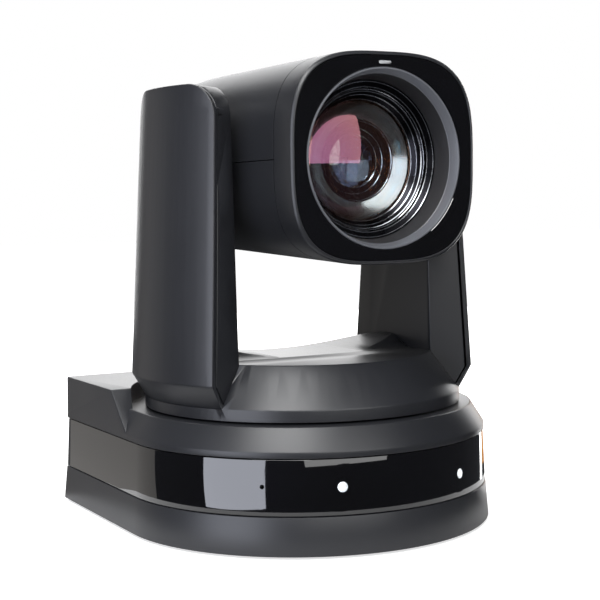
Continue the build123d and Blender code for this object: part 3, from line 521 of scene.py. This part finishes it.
for name, count, step in (("columns", VENT_COLUMNS, (VENT_STEP_X * MM, 0, 0)),
                          ("rows", VENT_ROWS, (0, 0, VENT_STEP_Z * MM))):
    repeat = vents.modifiers.new(name, "ARRAY")
    repeat.count = count
    repeat.use_relative_offset = False
    repeat.use_constant_offset = True
    repeat.constant_offset_displace = step
    bpy.ops.object.modifier_apply(modifier=name)
cut_by(housing, vents)
placed(housing, "base_upper_shell", charcoal_abs, 30)

# ---------------------------------------------------------------- Gloss band and its windows
# Smoked, infrared-clear polycarbonate, polished in the mould and snapped over the front of the base.
# Two white windows show the remote's receiver and the status lamp; a pinhole serves the microphone.
# Smoked polycarbonate: almost black, mirror smooth, so it shows the studio's soft boxes.
smoked_polycarbonate = finish("smoked_polycarbonate_gloss", "#040405", "#07070a", 60.0, (0.02, 0.045),
                              ior=1.585, coat=0.6)
BAND_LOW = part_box("ir_window_band")[0][2] / MM
BAND_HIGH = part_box("ir_window_band")[1][2] / MM
BAND_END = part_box("ir_window_band")[1][1] / MM
BAND_R = -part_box("ir_window_band")[0][1] / MM
BAND_LEAN = 0.9
BAND_WALL = 2.0


def band_ring(z, inset):
    """Level of the band: its height, with the lean of the moulding and an inset from the outer face."""
    lean = BAND_LEAN * (z - BAND_LOW) / (BAND_HIGH - BAND_LOW)
    return z, half_disc(BAND_R - lean - inset)


band = drawn("gloss_band", [
    band_ring(BAND_LOW, BAND_WALL), band_ring(BAND_LOW, 0.3), band_ring(BAND_LOW + 0.04, 0.15),
    band_ring(BAND_LOW + 0.15, 0.04), band_ring(BAND_LOW + 0.3, 0.0), band_ring(BAND_HIGH - 0.3, 0.0),
    band_ring(BAND_HIGH - 0.15, 0.04), band_ring(BAND_HIGH - 0.04, 0.15), band_ring(BAND_HIGH, 0.3),
    band_ring(BAND_HIGH, BAND_WALL),
], turns=D_TURNS, upright=True)
cut_by(band, block_tool((-90, BAND_END, 0), (90, 100, 60)))
# Each hole: azimuth in degrees, height and radius.
MIC_HOLE = (-40.6, 23.8, 0.8)
WINDOW_HOLES = [(-17.9, 23.4, 1.8), (24.8, 22.0, 1.8)]
for azimuth, height, radius in WINDOW_HOLES + [MIC_HOLE]:
    out = Vector((sin(radians(azimuth)), -cos(radians(azimuth)), 0))
    deselect()
    bpy.ops.mesh.primitive_cylinder_add(vertices=48, radius=radius * MM, depth=8 * MM,
                                        location=(out * BAND_R + Vector((0, 0, height))) * MM,
                                        rotation=out.to_track_quat("Z", "Y").to_euler())
    cut_by(band, bpy.context.object)
placed(band, "ir_window_band", smoked_polycarbonate, 30)
# Opal diffuser acrylic: milky white, with a faint cold painted glow of its own on both windows, the
# receiver's too.
opal_acrylic_painted_glow = finish("opal_acrylic_diffuser_painted_glow", "#e6edf2", "#ffffff", 3.0, (0.12, 0.2))
opal = opal_acrylic_painted_glow.node_tree.nodes["Principled BSDF"]
opal.inputs["Subsurface Weight"].default_value = 0.3
opal.inputs["Subsurface Radius"].default_value = (2 * MM, 2 * MM, 2 * MM)
# Painted glow: the windows themselves give off a faint cold light.
opal.inputs["Emission Color"].default_value = linear("#dfe9f2")
opal.inputs["Emission Strength"].default_value = 0.35
windows = cad_copy("signal_windows", "signal_window_lenses")
placed(windows, "signal_windows", opal_acrylic_painted_glow)

# ---------------------------------------------------------------- Turntable and arms
# The turntable's cone and saddle are one ABS moulding. Each arm is an inner moulding with an outer cover
# snapped on, which leaves a narrow shadow gap down its front and back.
ARM_INNER_X = 40.3
ARM_REAR_SLOPE = 0.32
ARM_REAR_FALL = 14.1
ARM_FRONT_SLOPE = 0.49
ARM_FOOT_Z = 47
ARM_R = 64.7
ARM_TAPER = 6.3
ARM_BEVEL_Z = 56.4
ARM_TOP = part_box("left_arm_cover")[1][2] / MM


def clear_of_arms(point):
    """True outside the feet of the two arms, seen from above."""
    wide = abs(point[0]) - ARM_INNER_X
    return wide < -1.5 or not -31.0 - ARM_FRONT_SLOPE * wide < point[1] < 30.5 + ARM_REAR_SLOPE * wide


def on_arm_cover(point):
    """True on the outer face of an arm above its foot, where it draws in towards the top."""
    rise = (point[2] - ARM_BEVEL_Z) / (ARM_TOP - ARM_BEVEL_Z)
    return rise > -0.01 and from_axis(point) > ARM_R - 0.3 - ARM_TAPER * rise


def on_arm_edge(point):
    """True on the inner face of an arm, and on the front and back corners beside its cover."""
    rise = (point[2] - ARM_FOOT_Z) / (ARM_TOP - ARM_FOOT_Z)
    beside = 27.0 - ARM_REAR_FALL * rise + ARM_REAR_SLOPE * (abs(point[0]) - ARM_INNER_X)
    outer = abs(point[0]) > 48 and point[2] > 52
    return abs(point[0]) < ARM_INNER_X + 0.3 or outer and not -24 < point[1] < beside


turntable = cad_copy("turntable_shell", "turntable_cover")
edge_rounded(turntable, MOULD_RADIUS, lambda p: clear_of_arms(p) and (
    p[2] > ARM_FOOT_Z and from_axis(p) > 44.5 or p[2] > 58 and abs(p[0]) < 39), 24)
placed(turntable, "turntable_shell", charcoal_abs, 30)

for side in ("right", "left"):
    arm = cad_copy(side + "_arm_shell", side + "_arm_inner", 1.5)
    edge_rounded(arm, 0.45, on_arm_edge, 26)
    placed(arm, side + "_arm_shell", charcoal_abs, 30)
    cover = cad_copy(side + "_arm_cover", side + "_arm_outer")
    edge_rounded(cover, 0.45, on_arm_cover, 26)
    placed(cover, side + "_arm_cover", charcoal_abs, 30)

# ---------------------------------------------------------------- Head casing
# Two ABS half shells that meet at the height of the tilt axis, crowned on all four sides and rounded off
# at the back. They close on a separate front ring, and the hubs of the arms pass through their sides.
head_low, head_high = (Vector(corner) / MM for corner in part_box("head_bezel"))
FACE_Y = head_low[1]
SEAM_Y = head_high[1]
TILT_Z = (head_low[2] + head_high[2]) / 2
HALF_W = (head_high[0] - head_low[0]) / 2
HALF_H = (head_high[2] - head_low[2]) / 2
REAR_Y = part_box("head_top_shell")[1][1] / MM
CROWN = 3.26
UNDERSIDE_RISE = 0.038
HEAD_SCREW_X = 10
HEAD_SCREW_Y = 12
HUB_HOLE_R = 9.0
SEAM = 0.3


def crowned(inset=0.0, scale=1.0, lift=0.0):
    """Outline of the head at an angle about the lens axis: a crowned square, its underside lifted."""
    def reach(turn):
        wide = (HALF_W - inset) * scale
        high = (HALF_H - inset) * scale
        if sin(turn) < 0:
            high -= lift
        return (abs(cos(turn) / wide) ** CROWN + abs(sin(turn) / high) ** CROWN) ** (-1 / CROWN)
    return reach


def head_outline(y, inset=0.0):
    """The head's outline at a place along it: straight to the tilt axis, then drawn in to the back."""
    reach = max(0.0, (y - 20) / (REAR_Y - 19))
    return crowned(inset, (1 - reach ** 4) ** 0.25, max(0.0, (y - FACE_Y) * UNDERSIDE_RISE))


outer_places = [SEAM_Y + SEAM, -30, -10, 8, 20, 28, 35, 41, 46, 50.5, 54, 57, 59.5, 61.4, 62.8, 63.6, REAR_Y]
hull = [(y, head_outline(y)) for y in outer_places]
hollow = [(SEAM_Y - 2, head_outline(SEAM_Y, WALL))]
hollow += [(y - WALL * (0.3 if y < 30 else 1.0), head_outline(y, WALL)) for y in outer_places[1:-2]]
for half, side in (("top", 1), ("bottom", -1)):
    shell = drawn("head_%s_casing" % half, hull, closed=False)
    cut_by(shell, drawn("room", hollow, closed=False))
    bpy.ops.mesh.primitive_cube_add(size=1, location=(0, 0, (TILT_Z - side * (100 - SEAM / 2)) * MM),
                                    scale=(200 * MM, 300 * MM, 200 * MM))
    cut_by(shell, bpy.context.object)
    bpy.ops.mesh.primitive_cylinder_add(vertices=96, radius=HUB_HOLE_R * MM, depth=200 * MM,
                                        location=(0, 0, TILT_Z * MM), rotation=(0, radians(90), 0))
    cut_by(shell, bpy.context.object)
    if side < 0:
        for x in (-HEAD_SCREW_X, HEAD_SCREW_X):
            seat = TILT_Z - HALF_H + UNDERSIDE_RISE * (HEAD_SCREW_Y - FACE_Y)
            cut_by(shell, post_tool(2.6, seat - 3, seat + 1.2, x, HEAD_SCREW_Y))
            cut_by(shell, post_tool(SCREW_HOLE_R, seat - 3, seat + 5, x, HEAD_SCREW_Y))
    placed(shell, "head_%s_shell" % half, charcoal_abs, 30)

screws = cad_copy("head_screws", "head_screws_sunk")
bpy.ops.object.mode_set(mode="EDIT")
bpy.ops.mesh.select_all(action="SELECT")
bpy.ops.transform.translate(value=(0, 0, UNDERSIDE_RISE * (HEAD_SCREW_Y - FACE_Y) * MM))
bpy.ops.object.mode_set(mode="OBJECT")
# Zinc-plated steel: pale blue-grey, its spangle too faint to break up a highlight.
zinc_steel = finish("zinc_plated_steel", "#9a9fa6", "#aeb2b9", 2.5, (0.28, 0.38), 0.0, 1.0)
placed(screws, "head_screws", zinc_steel)

# ---------------------------------------------------------------- Front ring and face plate
# The ABS front ring has a narrow chamfer that catches the light, and the gloss plate lies a little below
# it, cut from the same smoked polycarbonate as the band, with the lens opening and the tally slot.
front_ring = drawn("front_ring", [
    (SEAM_Y, crowned(3.4)), (FACE_Y + 1.8, crowned(3.4)), (FACE_Y + 1.8, crowned(1.3)),
    (FACE_Y + 0.2, crowned(1.3)), (FACE_Y + 0.05, crowned(1.2)), (FACE_Y, crowned(1.05)),
    (FACE_Y, crowned(0.95)), (FACE_Y + 0.08, crowned(0.75)), (FACE_Y + 0.75, crowned(0.12)),
    (FACE_Y + 1.1, crowned(0.02)), (FACE_Y + 1.4, crowned(0)), (FACE_Y + 6, crowned(0, 1.0, 0.2)),
    (SEAM_Y - 0.1, crowned(0, 1.0, 0.46)), (SEAM_Y, crowned(0.12, 1.0, 0.46)),
])
placed(front_ring, "head_bezel", charcoal_abs, 32)
PLATE_Y = FACE_Y + 0.25
PLATE_T = 1.45
OPENING_R = 30.7
plate = drawn("face_plate_gloss", [
    (PLATE_Y, circle(OPENING_R + 0.2)), (PLATE_Y, crowned(1.5)), (PLATE_Y + 0.15, crowned(1.35)),
    (PLATE_Y + PLATE_T, crowned(1.35)), (PLATE_Y + PLATE_T, circle(OPENING_R)),
    (PLATE_Y + 0.2, circle(OPENING_R)),
])
SLOT_GAP = 0.05
SLOT_DEPTH = 10
slot_low, slot_high = (Vector(corner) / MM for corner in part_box("tally_window"))
slot_y = (slot_low[1] + slot_high[1]) / 2
slot_tool = block_tool((slot_low[0] - SLOT_GAP, slot_y - SLOT_DEPTH / 2, slot_low[2] - SLOT_GAP),
                       (slot_high[0] + SLOT_GAP, slot_y + SLOT_DEPTH / 2, slot_high[2] + SLOT_GAP))
rounding = slot_tool.modifiers.new("ends", "BEVEL")
rounding.width = 0.6 * MM
rounding.segments = 6
rounding.limit_method = "ANGLE"
rounding.affect = "EDGES"
bpy.ops.object.modifier_apply(modifier="ends")
cut_by(plate, slot_tool)
placed(plate, "face_plate", smoked_polycarbonate, 30)
tally = cad_copy("tally_window", "tally_lens")
# Unlit light guide: the same opal acrylic behind smoke, so it reads as a mid grey bar.
smoked_opal = finish("smoked_opal_light_guide", "#8e9092", "#a2a4a6", 3.0, (0.15, 0.25))
placed(tally, "tally_window", smoked_opal)

# ---------------------------------------------------------------- Hood and lens rings
# The flared hood is a satin ABS cone. Inside it sit turned and black-anodised aluminium rings, whose
# edges are cut bright by the lathe's last pass, and the first lens is held by a threaded ring.
hood_abs = finish("charcoal_abs_fine_matt", "#4c4e53", "#585a5f", 0.3, (0.34, 0.43), 0.006, ior=1.53)


def behind(depth):
    """Place along the lens axis at a depth behind the face."""
    return FACE_Y + depth


FINE_RINGS = ring_angles(192)
HOOD_STEP = 4.0
hood = drawn("lens_hood_cone", [
    (behind(3.0), circle(30.6)), (behind(0.55), circle(30.6)), (behind(0.3), circle(30.4)),
    (behind(0.3), circle(30.0)), (behind(0.55), circle(29.82)), (behind(HOOD_STEP - 0.15), circle(28.87)),
    (behind(HOOD_STEP), circle(28.7)), (behind(HOOD_STEP + 0.1), circle(28.65)),
    (behind(7.5), circle(27.95)), (behind(11), circle(27.3)), (behind(11), circle(28.9)),
    (behind(5), circle(30.2)),
], turns=FINE_RINGS)
placed(hood, "lens_hood", hood_abs, 30)
# The hood's inner half is sprayed with a dead-matt black that keeps stray light off the lens.
flock_black = finish("matt_black_sprayed_abs", "#17181a", "#202124", 0.25, (0.55, 0.7), 0.01, ior=1.5)
hood.data.materials.append(flock_black)
for face in hood.data.polygons:
    if face.center[1] / MM > behind(HOOD_STEP):
        face.material_index = 1


def turned_metal(name, dark, light, rough, groove):
    """Turned and black-anodised aluminium: rings of tool marks about the lens axis, groove in mm."""
    made = bpy.data.materials.new(name)
    made.use_nodes = True
    tree = made.node_tree
    surface = tree.nodes["Principled BSDF"]
    surface.inputs["Metallic"].default_value = 1.0
    place = node(tree, "ShaderNodeTexCoord")
    centred = node(tree, "ShaderNodeMapping", _0=(place, "Object"), Location=(0, 0, -TILT_Z * MM))
    marks = node(tree, "ShaderNodeTexWave", {"wave_type": "RINGS", "rings_direction": "Y"},
                 Vector=(centred, 0), Scale=0.05 / (groove * MM), Distortion=0.6, Detail=2.0)
    cloud = node(tree, "ShaderNodeTexNoise", Vector=(centred, 0), Scale=1 / (4 * MM), Detail=3.0)
    tone = node(tree, "ShaderNodeMix", {"data_type": "RGBA"}, _0=(cloud, 0), _6=linear(dark),
                _7=linear(light))
    tree.links.new(tone.outputs[2], surface.inputs["Base Color"])
    shine = node(tree, "ShaderNodeMapRange", _0=(cloud, 0), _1=0.3, _2=0.7, _3=rough[0], _4=rough[1])
    tree.links.new(shine.outputs[0], surface.inputs["Roughness"])
    bump = node(tree, "ShaderNodeBump", Height=(marks, 0), Distance=0.004 * MM, Strength=1.0)
    tree.links.new(bump.outputs[0], surface.inputs["Normal"])
    return made


# Black-anodised aluminium: a dark, slightly warm metal with fine turning marks.
black_anodised = turned_metal("black_anodised_aluminium_turned", "#1b1b1e", "#26262a", (0.22, 0.32), 0.25)
# Bright-cut aluminium: the bare metal that the last cut leaves on an edge.
bright_cut = turned_metal("bright_cut_aluminium", "#b9bcc2", "#d5d8dd", (0.16, 0.24), 0.2)


def bright_edge(piece, places):
    """Gives the narrow faces at these (radius, depth) places the bare metal of the last cut."""
    piece.data.materials.append(bright_cut)
    for face in piece.data.polygons:
        centre = face.center / MM
        radius = (centre[0] ** 2 + (centre[2] - TILT_Z) ** 2) ** 0.5
        depth = centre[1] - FACE_Y
        if any(abs(radius - r) < 0.13 and abs(depth - d) < 0.16 for r, d in places):
            face.material_index = 1


trim = drawn("hood_foot_ring", [
    (behind(14.0), circle(27.1)), (behind(11.1), circle(27.1)), (behind(11.1), circle(26.75)),
    (behind(11.25), circle(26.55)), (behind(12.4), circle(25.05)), (behind(12.55), circle(24.85)),
    (behind(12.75), circle(24.8)), (behind(14.0), circle(24.8)),
], turns=FINE_RINGS)
placed(trim, "lens_trim_ring", black_anodised, 25)
bright_edge(trim, [(26.65, 11.18), (24.95, 12.48)])

keeper = drawn("lens_retaining_ring", [
    (behind(19.0), circle(24.6)), (behind(13.3), circle(24.6)), (behind(13.3), circle(24.3)),
    (behind(13.45), circle(24.12)), (behind(13.9), circle(23.7)), (behind(14.1), circle(23.7)),
    (behind(14.2), circle(23.45)), (behind(15.0), circle(22.6)), (behind(15.25), circle(22.6)),
    (behind(15.4), circle(22.4)), (behind(17.0), circle(21.25)), (behind(17.15), circle(21.05)),
    (behind(19.0), circle(21.05)),
], turns=FINE_RINGS)
placed(keeper, "retaining_ring", black_anodised, 25)
bright_edge(keeper, [(24.21, 13.38), (23.58, 14.15), (22.5, 15.33), (21.15, 17.08)])

baffle = drawn("stepped_baffle", [
    (behind(28.5), circle(20.9)), (behind(19.3), circle(20.9)), (behind(19.3), circle(20.2)),
    (behind(19.45), circle(19.9)), (behind(20.3), circle(13.6)), (behind(20.4), circle(13.4)),
    (behind(20.4), circle(13.15)), (behind(20.55), circle(13.0)), (behind(22.6), circle(13.0)),
    (behind(22.6), circle(10.9)), (behind(22.45), circle(10.75)), (behind(22.6), circle(10.6)),
    (behind(22.6), circle(8.7)), (behind(22.75), circle(8.5)), (behind(23.0), circle(8.3)),
    (behind(24.5), circle(8.3)), (behind(24.5), circle(10.1)), (behind(28.5), circle(10.1)),
], turns=FINE_RINGS)
placed(baffle, "lens_baffle", black_anodised, 25)
bright_edge(baffle, [(13.08, 20.48), (10.82, 22.52), (10.68, 22.52), (8.6, 22.68)])
# The baffle's shallow cone is left polished: it throws a pale crescent back through the front lens.
polished = turned_metal("polished_aluminium_cone", "#c8cac8", "#dcdedc", (0.13, 0.2), 0.5)
baffle.data.materials.append(polished)
for face in baffle.data.polygons:
    radius = Vector((face.center[0] / MM, face.center[2] / MM - TILT_Z)).length
    if 13.5 < radius < 20.0 and face.center[1] / MM < behind(20.6) and abs(face.normal[1]) > 0.9:
        face.material_index = 2

# ---------------------------------------------------------------- Lenses
# Ground and polished crown glass. The front element's many-layer coating throws back a faint magenta and
# green, and the deeper elements show it as small bluish discs in the pupil.
def coated_glass(name, tint, ior, film, film_ior):
    """Polished optical glass under a coating: the film's thickness in nanometres and its index."""
    made = bpy.data.materials.new(name)
    made.use_nodes = True
    tree = made.node_tree
    surface = tree.nodes["Principled BSDF"]
    surface.inputs["Base Color"].default_value = linear(tint)
    surface.inputs["Transmission Weight"].default_value = 1.0
    surface.inputs["IOR"].default_value = ior
    surface.inputs["Thin Film Thickness"].default_value = film
    surface.inputs["Thin Film IOR"].default_value = film_ior
    place = node(tree, "ShaderNodeTexCoord")
    dust = node(tree, "ShaderNodeTexNoise", Vector=(place, "Object"), Scale=1 / (6 * MM), Detail=2.0)
    shine = node(tree, "ShaderNodeMapRange", _0=(dust, 0), _1=0.35, _2=0.75, _3=0.0, _4=0.02)
    tree.links.new(shine.outputs[0], surface.inputs["Roughness"])
    return made


front_glass = coated_glass("coated_crown_glass_magenta_film", "#fbf4f8", 1.52, 122.0, 2.1)
back_glass = coated_glass("coated_crown_glass_teal_film", "#f4fbfa", 1.52, 185.0, 1.9)
inner_glass = coated_glass("coated_flint_glass_blue_film", "#e8eefc", 1.70, 90.0, 1.9)


def lens(name, node_name, radius, front, front_edge, back_edge, back, glass, steps=14):
    """Lens with two spherical faces, given by the depths of its poles and of its edges."""
    def face(pole, edge, count):
        rise = edge - pole
        towards = 1 if rise > 0 else -1
        ball = (radius ** 2 + rise ** 2) / (2 * abs(rise))
        places = []
        for i in range(1, count + 1):
            r = radius * i / count
            sag = ball - (ball ** 2 - r ** 2) ** 0.5
            places.append((behind(pole + towards * sag), circle(r)))
        return places

    rings = face(front, front_edge, steps) + face(back, back_edge, steps)[::-1]
    piece = drawn(name, rings, closed=False, turns=ring_angles(128))
    return placed(piece, node_name, glass, 40)


front_element = lens("front_element", "front_lens", 20.95, 11.8, 17.3, 18.9, 16.4, front_glass)
front_element.data.materials.append(back_glass)
for face in front_element.data.polygons:
    face.material_index = 1 if face.normal[1] > 0.3 else 0
lens("second_element", "second_lens", 10.0, 24.6, 26.2, 27.2, 28.4, inner_glass)

# ---------------------------------------------------------------- Pieces that keep their CAD shape
# Screws, shafts, pulleys, motors, boards and sockets are already the shape that they are turned, pressed
# or moulded to. Each gets the finish of what it is made of.
# Natural rubber feet: matt, slightly dusty black.
nitrile_rubber = finish("nitrile_rubber_feet", "#151516", "#202022", 0.5, (0.75, 0.9), 0.02)
# Machined brass of the tripod insert: warm yellow with lathe marks.
turned_brass = finish("turned_brass", "#a8843c", "#c9a356", 0.3, (0.25, 0.38), 0.004, 1.0, stretch=(1, 1, 8))
# Powder-coated steel of the connector panel: deep black with a coarse orange-peel texture.
powder_coat = finish("powder_coated_steel_panel", "#1c1d1f", "#26272a", 0.6, (0.45, 0.58), 0.02)
# Solder mask over glass-fibre laminate: glossy green with the weave just showing.
solder_mask = finish("green_solder_mask_laminate", "#0e4a2b", "#166339", 0.8, (0.22, 0.35), 0.004, coat=0.4)
# Nickel-plated shells of the sockets: even, bright, warm grey.
nickel_plate = finish("nickel_plated_socket_shell", "#b4b1aa", "#bfbcb5", 3.0, (0.24, 0.3), 0.0, 1.0)
# Glass-filled nylon of the other sockets: flat black with a fine mottle.
filled_nylon = finish("glass_filled_nylon_socket", "#121214", "#1d1e20", 0.4, (0.5, 0.62), 0.008)
# Neoprene belts: dull black with a slight bloom.
neoprene = finish("neoprene_belt", "#18181a", "#262628", 0.4, (0.65, 0.8), 0.015)
# Die-cast aluminium of frame, cradle and motors: grey with a sandy skin.
cast_aluminium = finish("die_cast_aluminium", "#7f8286", "#9a9da1", 0.9, (0.42, 0.56), 0.02, 1.0)

SLOT_FINISHES = {
    "charcoal_shell": charcoal_abs, "gloss_black": smoked_polycarbonate, "window_white": opal_acrylic_painted_glow,
    "feet_rubber": nitrile_rubber, "brass": turned_brass, "steel": zinc_steel, "panel_metal": powder_coat,
    "board": solder_mask, "socket_metal": nickel_plate, "socket_plastic": filled_nylon,
    "belt_rubber": neoprene, "cast_alloy": cast_aluminium, "lens_metal": black_anodised,
    "coated_glass": inner_glass,
}
for name, part in frame["nodes"].items():
    for place in part.material_slots:
        place.material = SLOT_FINISHES[slot_of[name]]

scene.view_settings.view_transform = "Standard"
scene.cycles.use_denoising = True
